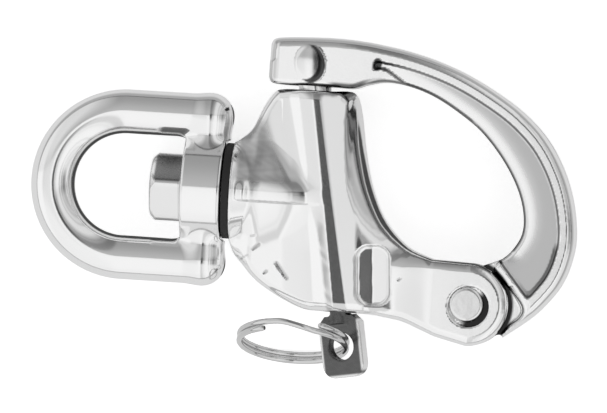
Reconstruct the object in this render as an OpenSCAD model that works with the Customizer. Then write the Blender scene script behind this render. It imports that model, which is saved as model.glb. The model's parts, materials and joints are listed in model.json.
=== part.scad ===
// Swivel snap hook lying flat, in millimetres.
// X runs along the swivel axis from the eye to the hook, Y towards the gate's tip, Z up.
// The origin is the centre of the eye's round end.

/* [Swivel eye] */
// Diameter of the eye's rod
eye_rod_d = 7; // [6:0.1:8]
// Clear width between the eye's legs
eye_inner_w = 16.2; // [15:0.1:18]
// Distance from the centre of the round end to the middle of the crossbar
eye_leg_l = 12.9; // [12:0.1:16]
// Diameter of the bored boss on the crossbar
eye_boss_d = 15.4; // [14:0.1:17]
// Length of the boss along the swivel axis
eye_boss_l = 6.5; // [6:0.1:9]
// Distance from the middle of the crossbar to the boss's outer face
eye_boss_reach = 2.8; // [2.2:0.1:3.2]
// Chamfer on the boss's two edges
eye_boss_chamfer = 0.5; // [0.2:0.1:1]

/* [Swivel bolt] */
// Diameter of the bolt's shank
bolt_d = 7; // [5:0.1:8]
// Size of the square head across its flats
bolt_head_w = 8.2; // [7.5:0.1:9]
// Height of the head
bolt_head_h = 5; // [3:0.1:6]
// Turn of the head about the swivel axis
bolt_head_turn = 38; // [0:1:45]
// Depth of the bolt in the body
bolt_depth = 9; // [7:0.1:9.5]
// Gap round the shank where the eye turns on it
swivel_clearance = 0.05; // [0.02:0.01:0.1]
// End play of the eye between the bolt's head and the washer
swivel_play = 0.1; // [0.05:0.01:0.2]

/* [Swivel washer] */
// Thickness of the washer
washer_t = 1.2; // [0.8:0.1:2]
// Outside diameter of the washer
washer_d = 15.2; // [13:0.1:15.4]

/* [Body] */
// Diameter of the body's round swivel face
neck_d = 15.4; // [15:0.1:16.5]
// How much the neck's radius falls for each millimetre along it
neck_taper = 0.42; // [0.3:0.01:0.6]
// Thickness of the shield's web
shield_t = 6; // [5:0.1:7]
// How much higher each face of the shield is along the swivel axis than at its edges
shield_dome = 1; // [0.5:0.1:1.5]
// Height of the shield's top face above the swivel axis
shield_top = 16.7; // [16:0.1:17.2]
// Depth of the body's lower face below the swivel axis
shield_drop = 18.1; // [17.5:0.1:18.6]
// Radius of the housing round the latch plunger
housing_r = 5.7; // [5:0.1:6.2]
// Width of the rib along the swivel axis
rib_w = 2.7; // [2:0.1:3.5]
// Height of that rib above the shield
rib_h = 0.7; // [0.3:0.1:1]
// Thickness of the arm that carries the hinge
arm_t = 9.2; // [8.6:0.1:9.6]
// Radius of the rounded edges of the shield and the arm
cast_edge_r = 1.5; // [1:0.1:1.8]
// Width of the pocket on each side of the arm
pocket_w = 5.4; // [4.5:0.1:5.8]
// Length of the pocket
pocket_l = 9.6; // [8.5:0.1:10]
// Depth of the pocket
pocket_depth = 1.5; // [0.8:0.1:1.8]

/* [Hinge] */
// Distance of the hinge pin from the swivel face
hinge_x = 38.5; // [38:0.1:39]
// Distance of the hinge pin below the swivel axis
hinge_drop = 15.6; // [15.2:0.1:16]
// Radius of the two ears
ear_r = 6.6; // [6.2:0.1:6.7]
// Thickness over both ears
ears_t = 10; // [9.6:0.1:11]
// Diameter of the hinge pin
pin_d = 5.4; // [4.5:0.1:5.8]
// Diameter of the shallow recess round each pin end
pin_recess_d = 7.2; // [6.8:0.1:8]
// Depth of that recess
pin_recess_depth = 0.6; // [0.3:0.1:1]
// Thickness of the gate's tongue between the ears
tongue_t = 3.9; // [3:0.1:4.5]
// Gap on each side of the tongue
tongue_clearance = 0.15; // [0.1:0.05:0.3]
// Gap round the hinge pin in the tongue
pin_clearance = 0.05; // [0.02:0.01:0.1]

/* [Gate] */
// Thickness of the gate
gate_t = 8.4; // [7.6:0.1:8.8]
// Width of the rim along the gate's outer edge
gate_rim_w = 2.5; // [2:0.1:3]
// Depth of the sunk panel on each side
gate_panel_depth = 0.8; // [0.4:0.1:1.1]
// Radius of the bulge round the latch socket
gate_bulge_r = 5; // [4.7:0.1:5.4]
// Gap between the gate's tip and the body's top face
gate_gap = 0.7; // [0.5:0.1:1]

/* [Latch plunger] */
// Tilt of the plunger's axis from the Y axis
latch_tilt = 9.9; // [9:0.1:11]
// Distance from the swivel face to the plunger's axis at the body's top face
latch_x = 12.25; // [12:0.05:12.6]
// Diameter of the plunger's head
plunger_d = 5.1; // [4.6:0.1:5.4]
// Length of the head inside the body
plunger_head_l = 12; // [9:0.1:13]
// How far the head stands into the gate
plunger_engage = 1.5; // [1:0.1:2]
// Diameter of the plunger's tail
tail_d = 3.2; // [2.6:0.1:3.2]
// Travel of the plunger
plunger_travel = 5.5; // [3:0.1:6]
// Gap round the plunger in its bores
plunger_clearance = 0.07; // [0.03:0.01:0.1]
// Width of the flattened tab
tab_w = 7.4; // [6.6:0.1:8]
// Length of the tab
tab_l = 9.9; // [9:0.1:11]
// Thickness of the tab
tab_t = 2; // [1.6:0.1:2.4]
// Diameter of the hole in the tab
tab_hole_d = 4.4; // [4.2:0.1:4.8]
// Turn of the tab about the plunger's axis
tab_turn = 25; // [15:1:30]

/* [Plunger spring] */
// Diameter of the spring's wire
spring_wire_d = 0.6; // [0.5:0.05:0.65]
// Turns in the spring
spring_turns = 9; // [6:1:10]

/* [Split ring] */
// Outside diameter of the ring
ring_d = 18; // [16:0.1:19]
// Diameter of its wire
ring_wire_d = 1; // [0.8:0.05:1.1]
// Tilt of the ring's plane from upright
ring_tilt = 19; // [15:1:25]

/* [Hidden] */
$fn = 64;
cut = 0.5;
fit_gap = 0.02;
thin = 0.3;

// Stations along the swivel axis
eye_r = (eye_inner_w + eye_rod_d) / 2;
boss_end = eye_leg_l + eye_boss_reach;
boss_start = boss_end - eye_boss_l;
head_start = boss_start - swivel_play - bolt_head_h;
swivel_face = boss_end + swivel_play + washer_t;
neck_r = neck_d / 2;
arm_half = arm_t / 2;
ear_half = ears_t / 2;
gate_half = gate_t / 2;

// Hinge, in the hook's own frame, whose origin is the centre of the swivel face
hinge = [hinge_x, -hinge_drop];
hinge_room_r = ear_r + 0.3;
slot_t = tongue_t + 2 * tongue_clearance;
tongue_r = ear_r - 0.6;

// Middle of the pocket
pocket_x = 23.4;
pocket_y = -12;
pocket_tilt = 4;

// Latch line: distances along it run down from the body's top face
latch_down = [sin(latch_tilt), -cos(latch_tilt)];
latch_top = [latch_x, shield_top];
tail_exit = (shield_top + shield_drop) / cos(latch_tilt);
spring_room = plunger_travel + (spring_turns + 1) * spring_wire_d + 3;
bore_step = plunger_head_l + spring_room;
gate_bottom = shield_top + gate_gap;
socket_depth = gate_gap + plunger_engage + 0.4;
socket_run = 2.4;
tab_gap = 0.1;
tab_shoulder = 1.2;
tab_start = tail_exit + tab_gap + (tab_w / 2 - tab_shoulder) * tan(latch_tilt);
tab_hole_at = tab_start + 4.9;

// Ladder of the body: each rung is a point of the lower edge and one of the upper edge
latch_foot_x = latch_x + tail_exit * sin(latch_tilt);
BODY_RUNGS = [
    [0, -neck_r, 0, neck_r],
    [0.9, -neck_r - 2.1, 1.2, neck_r + 0.8],
    [2.5, -11.6, 2.9, 10.2],
    [5, -14.1, 4.5, 13.8],
    [8.6, -16.3, 6, shield_top - 0.6],
    [latch_foot_x - 5.9, -shield_drop + 0.2, latch_x - 4.9, shield_top - 0.1],
    [latch_foot_x - 2.9, -shield_drop, latch_x - 2.6, shield_top],
    [latch_foot_x, -shield_drop, latch_x, shield_top],
    [latch_foot_x + 2.9, -shield_drop, latch_x + 2.9, shield_top],
    [latch_foot_x + 5.5, -shield_drop - 0.1, latch_x + 6.4, shield_top],
    [25.2, -18.4, 20, 13.9],
    [26.5, -18.6, 21.1, 7.6],
    [27.8, -18.8, 22.6, 1.8],
    [29.2, -19.2, 25, -3.3],
    [31.2, -20, 28.6, -7.1],
    [33.7, -21, 32.6, -8.8]
];
EAR_ANGLES = [92, 78, 64, 50, 37, 25, 14];

// Ladder of the gate: each rung is a point of the inner edge and one of the outer edge
GATE_RUNGS = [
    [4.9, gate_bottom + 1.1, 4.9, 23.7],
    [5.3, gate_bottom + 0.3, 5.4, 24.5],
    [6.6, gate_bottom, 7, 24.85],
    [11.5, gate_bottom, 11.5, 25.1],
    [15.5, gate_bottom, 16, 25.15],
    [18.5, gate_bottom, 20, 24.9],
    [20.6, gate_bottom + 0.7, 23, 24.5],
    [23.5, 18.7, 27, 23.8],
    [27, 18.3, 31.5, 22.6],
    [31, 17, 36, 20.9],
    [35, 14.8, 40.8, 18.4],
    [39, 11.9, 45.5, 15.3],
    [42.6, 7.8, 49.6, 11.3],
    [45.2, 3.5, 52.6, 6.4],
    [46.5, -0.5, 54.4, 1.2],
    [46.5, -4, 55.1, -4.2],
    [44.9, -6.9, 54.5, -8.4],
    [hinge_x + 4, 6.1 - hinge_drop, 53.3, -11.6],
    [hinge_x + 6.4, 3.2 - hinge_drop, 51.7, -14],
    [hinge_x + 8.5, 0.2 - hinge_drop, hinge_x + 11.3, -0.6 - hinge_drop],
    [hinge_x + 8.3, -1.4 - hinge_drop, hinge_x + 9.6, -2.1 - hinge_drop],
    [hinge_x + 6.9, -2.7 - hinge_drop, hinge_x + 7.8, -3.5 - hinge_drop],
    [hinge_x + 5.6, -4.5 - hinge_drop, hinge_x + 5.9, -4.9 - hinge_drop]
];
PANEL_START = 21.6;
PANEL_END_RUNG = 18.6;
SHOULDER_RUNG = 16.4;

// A point of the smooth curve through a, b, c and d, between b and c
function between(a, b, c, d, t) =
    b + (c - a) * t / 2 + (2 * a - 5 * b + 4 * c - d) * t * t / 2
    + (3 * b - a - 3 * c + d) * t * t * t / 2;

// The smooth curve through the rows of p, with n steps from each row to the next
function smooth_rows(p, n) = let (last = len(p) - 1) [
    for (i = [0 : last - 1]) for (k = [0 : n - 1])
        between(p[max(i - 1, 0)], p[i], p[i + 1], p[min(i + 2, last)], k / n),
    p[last]
];

function clamp(v, low, high) = min(max(v, low), high);

// 0 before a, 1 after b, with a smooth rise between them
function ramp(v, a, b) = let (t = clamp((v - a) / (b - a), 0, 1)) t * t * (3 - 2 * t);

// The larger of two heights, with a fillet of size k where they meet
function soft_max(a, b, k) = let (t = max(k - abs(a - b), 0) / k) max(a, b) + t * t * k / 4;

// How far a rounded edge of radius r has fallen at distance d from the outline
function edge_drop(d, r) = d >= r ? 0 : r - sqrt(max(0, r * r - (r - d) * (r - d)));

// Distance of a point from the latch line, growing to the right
function from_latch(p) = (p[0] - latch_top[0]) * cos(latch_tilt) + (p[1] - latch_top[1]) * sin(latch_tilt);

// Closed solid through equal loops of points
module skin(loops) {
    n = len(loops);
    m = len(loops[0]);
    polyhedron(
        points = [for (loop = loops) each loop],
        faces = [
            [for (k = [m - 1 : -1 : 0]) k],
            [for (k = [0 : m - 1]) (n - 1) * m + k],
            for (i = [0 : n - 2]) for (k = [0 : m - 1])
                let (a = i * m + k, b = i * m + (k + 1) % m)
                each [[a, b, a + m], [b, b + m, a + m]]
        ]
    );
}

// Loop of one rung: out along the front at the given heights, back along the rear
function rung_loop(rung, places, heights) = let (
    low = [rung[0], rung[1]],
    high = [rung[2], rung[3]],
    n = len(places)
) [
    for (k = [0 : n - 1]) let (p = low + (high - low) * places[k]) [p[0], p[1], heights[k]],
    for (k = [n - 1 : -1 : 0]) let (p = low + (high - low) * places[k]) [p[0], p[1], -heights[k]]
];

// Half the thickness of the body at a point of its outline plane
function body_height(p) = let (
    neck = sqrt(max(0, pow(max(neck_r - neck_taper * p[0], 0), 2) - p[1] * p[1])),
    side = from_latch(p),
    shield_half = shield_t / 2 + shield_dome * (1 - abs(p[1]) / shield_top),
    web = shield_half * ramp(p[0], -0.6, 3.4) + (arm_half - shield_half) * ramp(side, 0, 6)
        + (ear_half - arm_half) * ramp(p[0], 28, 33),
    shield = soft_max(neck, web, 1.6),
    rib = rib_h * (1 - ramp(abs(p[1]), rib_w / 2 - 0.2, rib_w / 2 + 0.3)) * ramp(p[0], 0.8, 2)
        * (1 - ramp(p[0], 12, 15)),
    housing = sqrt(max(0, housing_r * housing_r - side * side))
) soft_max(shield + rib, housing, 1.6);

// Radius of the edge towards the bow's opening, which is fuller beside the housing
function bow_edge_r(p) = cast_edge_r + 2.3 * ramp(p[0], 16.5, 19.5) * (1 - ramp(p[0], 24, 33));

BODY_EDGE = [0, 0.06, 0.2, 0.5, 1];
RIB_PLACES = [-0.13, -0.09, -0.065, -0.05, -0.03, 0, 0.03, 0.05, 0.065, 0.09, 0.13];

// Places across one rung of the body, from 0 to 1, closer at both edges and along the rib
function body_places(rung) = let (
    w = norm([rung[2] - rung[0], rung[3] - rung[1]]),
    edge = min(cast_edge_r * 1.1, w / 4) / w,
    bow = min(bow_edge_r([rung[2], rung[3]]) * 1.05, w * 0.3) / w,
    rib = clamp(-rung[1] / (rung[3] - rung[1]), 0.38, 0.62 - max(bow - 0.2, 0))
) [
    for (e = BODY_EDGE) e * edge,
    edge + (rib - 0.13 - edge) / 3,
    edge + (rib - 0.13 - edge) * 2 / 3,
    for (r = RIB_PLACES) rib + r,
    1 - bow - (0.87 - rib - bow) * 2 / 3,
    1 - bow - (0.87 - rib - bow) / 3,
    for (k = [len(BODY_EDGE) - 1 : -1 : 0]) 1 - BODY_EDGE[k] * bow
];

function body_loop(rung) = let (
    low = [rung[0], rung[1]],
    high = [rung[2], rung[3]],
    w = norm(high - low),
    places = body_places(rung)
) rung_loop(rung, places, [
    for (s = places) let (p = low + (high - low) * s)
        max(body_height(p) - edge_drop(s * w, cast_edge_r) - edge_drop((1 - s) * w, bow_edge_r(high)), thin)
]);

function ear_rung(a) = [
    hinge[0] + ear_r * cos(a), hinge[1] - ear_r * sin(a),
    hinge[0] + ear_r * cos(a), hinge[1] + ear_r * sin(a)
];

// Places something on the latch line, with its own -Y running down the line
module on_latch() {
    translate([swivel_face + latch_top[0], latch_top[1], 0]) rotate([0, 0, latch_tilt]) children();
}

// Cylinder round the latch line between two distances from the body's top face
module latch_rod(d, from, to) {
    translate([0, -from, 0]) rotate([90, 0, 0]) cylinder(d = d, h = to - from);
}

// Cylinder round the swivel axis
module swivel_rod(d, from, to) {
    translate([from, 0, 0]) rotate([0, 90, 0]) cylinder(d = d, h = to - from);
}

module body_casting() {
    rungs = concat(smooth_rows(BODY_RUNGS, 3), [for (a = EAR_ANGLES) ear_rung(a)]);
    skin([for (rung = rungs) body_loop(rung)]);
}

// Pocket beside the housing, cut into both faces of the arm
module pockets() {
    corner = pocket_w / 2 - 0.3;
    for (side = [0, 1]) mirror([0, 0, side])
        translate([pocket_x, pocket_y, arm_half - pocket_depth]) rotate([0, 0, pocket_tilt])
            linear_extrude(pocket_depth + 2) for (end = [-1, 1]) {
                square([pocket_w, pocket_l - 2 * corner], center = true);
                square([pocket_w - 2 * corner, pocket_l], center = true);
                for (across = [-1, 1])
                    translate([across * (pocket_w / 2 - corner), end * (pocket_l / 2 - corner)]) circle(r = corner);
            }
}

module hinge_cuts() {
    translate([hinge[0], hinge[1], 0]) {
        cylinder(r = hinge_room_r, h = slot_t, center = true);
        cylinder(d = pin_d + 2 * fit_gap, h = ears_t + 2 * cut, center = true);
        for (side = [0, 1]) mirror([0, 0, side])
            translate([0, 0, ear_half - pin_recess_depth]) cylinder(d = pin_recess_d, h = 2 * cut + pin_recess_depth);
    }
}

module body() {
    color("silver") difference() {
        translate([swivel_face, 0, 0]) body_casting();
        translate([swivel_face, 0, 0]) hinge_cuts();
        translate([swivel_face, 0, 0]) pockets();
        swivel_rod(bolt_d + 2 * fit_gap, swivel_face - cut, swivel_face + bolt_depth + swivel_play);
        on_latch() latch_rod(plunger_d + 2 * plunger_clearance, -3, bore_step);
        on_latch() latch_rod(tail_d + 2 * plunger_clearance, bore_step - cut, tail_exit + 3);
    }
}

// Share of the sunk panel at a place of the gate, from 0 to 1
function panel(u, x, y, inner, outer) = let (
    start = y < 10 ? 1 : ramp(x, PANEL_START - 0.5, PANEL_START + 0.7),
    finish = 1 - ramp(u, PANEL_END_RUNG - 0.6, PANEL_END_RUNG),
    shoulder = u < SHOULDER_RUNG ? 1 : ramp(inner, 0.8, 1.4)
) start * finish * shoulder * ramp(outer, gate_rim_w - 0.1, gate_rim_w + 0.6);

// Radius of the rounded inner edge of the gate, which is broadest where the tip meets the bow
function inner_edge_r(u) = 0.7 + 1.5 * ramp(u, 3.5, 5.5) * (1 - ramp(u, 6, 8.5)) + 0.3 * ramp(u, 8, 10);

GATE_EDGE_IN = [0, 0.1, 0.4, 1];
GATE_RIM = [3.3, 2.95, 2.6, 2.1, 1.5, 0.8, 0.3, 0];
OUTER_EDGE_R = 1.5;

// Places across one rung of the gate, from its inner edge to its outer edge
function gate_places(w, u) = let (
    share = min(1, w / 6.4),
    inner = inner_edge_r(u) * share,
    rim = GATE_RIM[0] * share
) [
    for (e = GATE_EDGE_IN) e * inner / w,
    for (k = [1 : 3]) (inner + (w - rim - inner) * k / 4) / w,
    for (r = GATE_RIM) 1 - r * share / w
];

function gate_loop(rung, u) = let (
    low = [rung[0], rung[1]],
    high = [rung[2], rung[3]],
    w = norm(high - low),
    places = gate_places(w, u),
    half = gate_half - 1.1 * (1 - ramp(u, -0.6, 1.5)) - 0.9 * ramp(u, 19.5, 22)
) rung_loop(rung, places, [
    for (s = places) let (
        p = low + (high - low) * s,
        inner = s * w,
        outer = w - inner,
        flat = half - gate_panel_depth * panel(u, p[0], p[1], inner, outer),
        side = from_latch(p),
        along = abs(p[1] - 20.9),
        bulge = (sqrt(max(0, gate_bulge_r * gate_bulge_r - side * side)) - gate_half)
            * (1 - ramp(along, 1.6, 3)),
        lift = p[0] < 20 ? max(bulge, 0) : 0
    ) max(flat + lift - edge_drop(inner, min(inner_edge_r(u), w / 3))
        - edge_drop(outer, min(OUTER_EDGE_R, w / 2)), thin)
]);

module gate_casting() {
    steps = 3;
    rungs = smooth_rows(GATE_RUNGS, steps);
    skin([for (i = [0 : len(rungs) - 1]) gate_loop(rungs[i], i / steps)]);
}

module gate_tongue() {
    linear_extrude(tongue_t, center = true) union() {
        translate(hinge) circle(r = tongue_r);
        translate(hinge) polygon([
            [0, 0], [1, tongue_r - 0.1], [2, tongue_r + 0.25], [4.9, 7.4], [9, 4], [10.5, -0.2],
            [8.3, -2.3], [6.5, -4.1], [2.5, -tongue_r + 0.7]
        ]);
    }
}

// Room for the plunger's head: a socket that runs out towards the tip, so the gate can swing clear
module latch_socket() {
    socket_d = plunger_d + 0.4;
    for (shift = [0, socket_run])
        translate([-shift, 0, 0]) latch_rod(socket_d, -socket_depth, 0);
    translate([-socket_run, 0, -socket_d / 2]) cube([socket_run, socket_depth, socket_d]);
}

module gate() {
    color("silver") difference() {
        translate([swivel_face, 0, 0]) union() {
            gate_casting();
            gate_tongue();
        }
        translate([swivel_face + hinge[0], hinge[1], 0])
            cylinder(d = pin_d + 2 * pin_clearance, h = gate_t, center = true);
        on_latch() latch_socket();
    }
}

module hinge_pin() {
    half = ear_half - 0.1;
    dome = 0.5;
    r = pin_d / 2;
    color("gainsboro") translate([swivel_face + hinge[0], hinge[1], 0])
        rotate_extrude() polygon([
            [0, -half], [r - dome, -half], [r, -half + dome],
            [r, half - dome], [r - dome, half], [0, half]
        ]);
}

// Half of the round end, swept about the origin
module eye_bow() {
    rotate([0, 0, 90]) rotate_extrude(angle = 180) translate([eye_r, 0]) circle(d = eye_rod_d);
}

// Straight leg on one side, with its round corner on the crossbar
module eye_leg(side) {
    translate([0, side * eye_r, 0]) rotate([0, 90, 0]) cylinder(d = eye_rod_d, h = eye_leg_l);
    translate([eye_leg_l, side * eye_r, 0]) rotate([0, 0, 45 * side - 45]) sphere(d = eye_rod_d);
}

module eye_boss() {
    r = eye_boss_d / 2;
    c = eye_boss_chamfer;
    translate([boss_start, 0, 0]) rotate([0, 90, 0]) rotate_extrude() polygon([
        [0, 0], [r - c, 0], [r, c], [r, eye_boss_l - c], [r - c, eye_boss_l], [0, eye_boss_l]
    ]);
}

module eye() {
    color("silver") difference() {
        union() {
            eye_bow();
            for (side = [-1, 1]) eye_leg(side);
            translate([eye_leg_l, 0, 0]) rotate([90, 0, 0])
                cylinder(d = eye_rod_d, h = 2 * eye_r, center = true);
            eye_boss();
        }
        swivel_rod(bolt_d + 2 * swivel_clearance, boss_start - cut, boss_end + cut);
        swivel_rod(eye_boss_d + 0.6, boss_end, boss_end + eye_rod_d);
    }
}

module bolt_head() {
    intersection() {
        translate([head_start, 0, 0]) rotate([bolt_head_turn, 0, 0])
            translate([0, -bolt_head_w / 2, -bolt_head_w / 2]) cube([bolt_head_h, bolt_head_w, bolt_head_w]);
        translate([head_start + bolt_head_h, 0, 0]) rotate([0, -90, 0]) rotate_extrude() polygon([
            [0, 0], [bolt_head_w * 0.66, 0], [bolt_head_w * 0.66, bolt_head_h - 1.1],
            [bolt_head_w * 0.66 - 1.1, bolt_head_h - 0.3], [bolt_head_w * 0.3, bolt_head_h], [0, bolt_head_h]
        ]);
    }
}

module swivel_bolt() {
    color("silver") union() {
        bolt_head();
        swivel_rod(bolt_d, head_start + bolt_head_h / 2, swivel_face + bolt_depth);
    }
}

module swivel_washer() {
    color("dimgray") difference() {
        swivel_rod(washer_d, boss_end + swivel_play, swivel_face);
        swivel_rod(bolt_d + 2 * swivel_clearance, boss_end, swivel_face + cut);
    }
}

// Flattened end of the plunger, in the plane of X and Y with its hole along Z
module tab() {
    corner = 2.2;
    half = tab_w / 2;
    translate([0, 0, -tab_t / 2]) linear_extrude(tab_t) difference() {
        union() {
            polygon([
                [-half, corner - tab_l], [half, corner - tab_l], [half, -tab_shoulder],
                [half - tab_shoulder, 0], [tab_shoulder - half, 0], [-half, -tab_shoulder]
            ]);
            translate([corner - half, -tab_l]) square([tab_w - 2 * corner, tab_l - corner]);
            for (side = [-1, 1]) translate([side * (half - corner), corner - tab_l]) circle(r = corner);
        }
        translate([0, tab_start - tab_hole_at]) circle(d = tab_hole_d);
    }
}

module plunger() {
    r = plunger_d / 2;
    dome = 0.6;
    top = gate_gap + plunger_engage;
    color("silver") on_latch() {
        rotate([90, 0, 0]) translate([0, 0, -top]) rotate_extrude() polygon([
            [0, 0], [r - dome, 0], [r, dome], [r, top + plunger_head_l],
            [tail_d / 2, top + plunger_head_l], [tail_d / 2, top + tab_start + 1], [0, top + tab_start + 1]
        ]);
        rotate([0, -tab_turn, 0]) translate([0, -tab_start, 0]) tab();
    }
}

// Wire of diameter d bent round the Z axis from the angle start, with its turns side by side
module coil(r, d, turns, rise, per_turn, sides, start = 0) {
    steps = turns * per_turn;
    skin([for (i = [0 : steps]) let (a = start + 360 * i / per_turn, z = rise(i / per_turn)) [
        for (k = [0 : sides - 1]) let (b = -360 * k / sides, q = r + d / 2 * cos(b))
            [q * cos(a), q * sin(a), z + d / 2 * sin(b)]
    ]]);
}

module plunger_spring() {
    r = (tail_d + plunger_d) / 4;
    play = 0.05;
    length = spring_room - spring_wire_d - 2 * play;
    color("gray") on_latch() translate([0, -plunger_head_l - spring_wire_d / 2 - play, 0]) rotate([90, 0, 0])
        coil(r, spring_wire_d, spring_turns, function (t) length * t / spring_turns, 12, 6);
}

// Centre of the split ring: level with the tab's hole, and low enough to lie on the boss's plane
ring_r = (ring_d - ring_wire_d) / 2;
ring_pitch = ring_wire_d * 1.04;
// The wire steps from one turn to the other where its two ends leave room: part of a turn, before this angle
ring_step = 5 / 36;
ring_end = 125;
ring_seat = latch_top + tab_hole_at * latch_down + [0.5, 0.3];

module split_ring() {
    reach = ring_d / 2 * cos(ring_tilt) + ring_pitch * sin(ring_tilt);
    color("lightgray")
        translate([swivel_face + ring_seat[0] - ring_r, ring_seat[1], max(reach - eye_boss_d / 2, 0)])
        rotate([90 - ring_tilt, 0, 0])
        coil(ring_r, ring_wire_d, 2 - ring_step, function (t) ring_pitch * (ramp(t, 1 - ring_step, 1) - 0.5),
            36, 8, ring_end);
}

body();
gate();
hinge_pin();
eye();
swivel_bolt();
swivel_washer();
plunger();
plunger_spring();
split_ring();
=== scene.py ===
import json
import math

import bpy
import numpy as np
from mathutils import Matrix, Vector


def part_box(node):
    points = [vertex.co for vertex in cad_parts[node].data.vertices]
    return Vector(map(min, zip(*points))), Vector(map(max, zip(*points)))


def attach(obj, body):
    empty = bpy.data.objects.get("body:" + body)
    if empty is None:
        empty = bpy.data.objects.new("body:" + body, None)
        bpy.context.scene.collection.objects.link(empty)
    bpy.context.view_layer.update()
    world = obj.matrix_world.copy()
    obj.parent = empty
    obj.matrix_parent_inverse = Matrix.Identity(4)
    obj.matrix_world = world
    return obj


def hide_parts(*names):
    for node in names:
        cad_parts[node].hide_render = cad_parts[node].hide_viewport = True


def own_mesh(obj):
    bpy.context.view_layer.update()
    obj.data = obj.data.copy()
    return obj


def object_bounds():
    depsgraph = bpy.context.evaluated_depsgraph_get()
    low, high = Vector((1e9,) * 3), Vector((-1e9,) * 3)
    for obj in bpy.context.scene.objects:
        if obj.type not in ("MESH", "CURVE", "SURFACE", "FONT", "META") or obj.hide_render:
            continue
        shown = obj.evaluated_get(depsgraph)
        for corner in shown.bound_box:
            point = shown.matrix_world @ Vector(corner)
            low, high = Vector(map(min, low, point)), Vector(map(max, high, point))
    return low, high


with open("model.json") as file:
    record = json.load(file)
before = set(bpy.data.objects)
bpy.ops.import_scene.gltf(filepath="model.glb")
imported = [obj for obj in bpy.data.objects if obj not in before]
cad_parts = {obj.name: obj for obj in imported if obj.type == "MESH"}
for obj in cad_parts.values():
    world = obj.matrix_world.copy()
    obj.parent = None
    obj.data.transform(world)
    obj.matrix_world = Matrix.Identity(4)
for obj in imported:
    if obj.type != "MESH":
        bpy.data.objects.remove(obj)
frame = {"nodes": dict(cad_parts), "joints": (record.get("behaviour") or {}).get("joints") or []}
CAD_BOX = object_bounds()
JOINTS = {joint["name"]: joint for joint in frame["joints"]}
MM = 0.001

# Sizes below are in millimetres. The hook's outline is measured along x from the swivel face, the eye's
# from the middle of its bow, and heights are measured from the middle plane of both.

# Swivel eye and its bolt
EYE_ROD_R = 3.5
EYE_BOW_R = 11.6
EYE_LEG_L = 12.9
EYE_CROSSBAR_R = 3.4
BOSS_R = 7.7
BOSS_START = 9.2
BOSS_END = 15.7
BOLT_R = 3.5
BOLT_REACH = 9
BOLT_ROOM_L = 6
BOLT_HEAD_L = 5.1
BOLT_HEAD_GAP = 0.1
BOLT_HEAD_HALF = 4.1
BOLT_HEAD_TURN = math.radians(38)
BOLT_HEAD_ROUND_R = 5.4
HOLE_GAP = 0.05

# Washer
WASHER_R = 7.6
WASHER_HALF = 0.6

# Body
FACE_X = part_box("body")[0].x / MM
NECK_R = 7.7
NECK_TAPER = 0.42
SHIELD_TOP = 16.7
SHIELD_DROP = 18.1
SHIELD_EDGE_HALF = 3.0
DOME = 1.0
ARM_HALF = 4.6
ARM_SLOPE = 0.05
ARM_FALL = 1.8
EAR_HALF = 5.0
HOUSING_R = 5.7
CREASE = 2.1
LEFT_FLANK = math.tan(math.radians(30))
RIGHT_SIDE = 1.8
RIGHT_FLANK = math.tan(math.radians(17))
FACET_SLOPE = math.tan(math.radians(3.5))
FILLET = 1.2
RIB_HALF = 1.35
RIB_H = 0.7
POCKET = (23.4, -12.0)
POCKET_HALF = (2.7, 4.8)
POCKET_CORNER = 2.2
POCKET_DEPTH = 1.5
POCKET_TILT = math.radians(4)
POCKET_VALLEY = -0.1
# Short casting marks on the front: start, end, radius and depth
MARKS = [
    ((4.2, -8.9), (5.1, -8.1), 0.33, 0.07),
    ((3.7, -6.9), (4.3, -6.8), 0.25, 0.04),
    ((8.0, -10.9), (9.8, -13.2), 0.36, 0.06),
    ((2.2, -10.6), (3.4, -9.9), 0.2, 0.04),
    ((6.2, -12.6), (6.5, -12.3), 0.3, 0.04),
    ((27.6, -12.3), (27.8, -12.2), 0.25, 0.05),
]


def joint_place(name):
    """Where a joint's axis meets the middle plane, from the swivel face."""
    place = JOINTS[name]["pos_m"]
    return np.array([place[0] / MM - FACE_X, place[1] / MM])


# Hinge
HINGE = joint_place("gate_hinge")
EAR_R = 6.6
EAR_ROOM_R = 6.9
SLOT_HALF = 2.1
TONGUE_HALF = 1.95
TONGUE_R = 6.0
PIN_R = 2.7
PIN_HALF = 4.9
PIN_RECESS_R = 3.6
PIN_RECESS_DEPTH = 0.6
PIN_RECESS_SHIFT = (0.35, -0.3)

# Gate
GATE_HALF = 4.2
GATE_BOTTOM = 17.4
GATE_RIM_W = 2.5
PANEL_DEPTH = 0.8
PANEL_START_X = 21.3
TIP_MIDDLE_Y = 10
# The bulge on the tip, and the oval that leaves a dark crescent beside it, across and along the latch line
BULGE_HALF = (2.2, 2.75)
BULGE_AT = (-0.1, -4.25)
CRESCENT_AT = (-1.05, -4.75)
SOCKET_GAP = 0.2
SOCKET_RUN = 2.4
SOCKET_DEPTH = 2.6

# Latch line: it runs down from the body's top face
LATCH_TOP = joint_place("plunger_turn")
LATCH_DOWN = np.array(JOINTS["plunger_turn"]["axis"][:2])
HEAD_R = 2.55
HEAD_L = 12.0
HEAD_RISE = 2.2
TAIL_R = 1.6
BORE_GAP = 0.07
BORE_STEP = 26.5
TAB_START = 35.86
TAB_HALF_W = 3.7
TAB_L = 9.9
TAB_HALF_T = 1.0
TAB_CORNER = 2.2
TAB_SHOULDER = 1.2
TAB_HOLE_R = 2.2
TAB_HOLE_AT = 4.9
TAB_TURN = math.radians(25)

# Split ring
RING_R = 8.5
RING_WIRE_R = 0.5
RING_PITCH = 1.04
RING_TILT = math.radians(19)
RING_CENTRE = np.array([28.258, -23.155, 1.148])
RING_START = math.radians(119)
RING_GAP = 59 / 360
RING_STEP_END = 12 / 360
RING_CREST = 7.9
RING_INSET = 0.015
RING_END_SHARE = 0.72
RING_TAPER_L = 0.4
RING_PER_TURN = 144
RING_SIDES = 16

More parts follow.
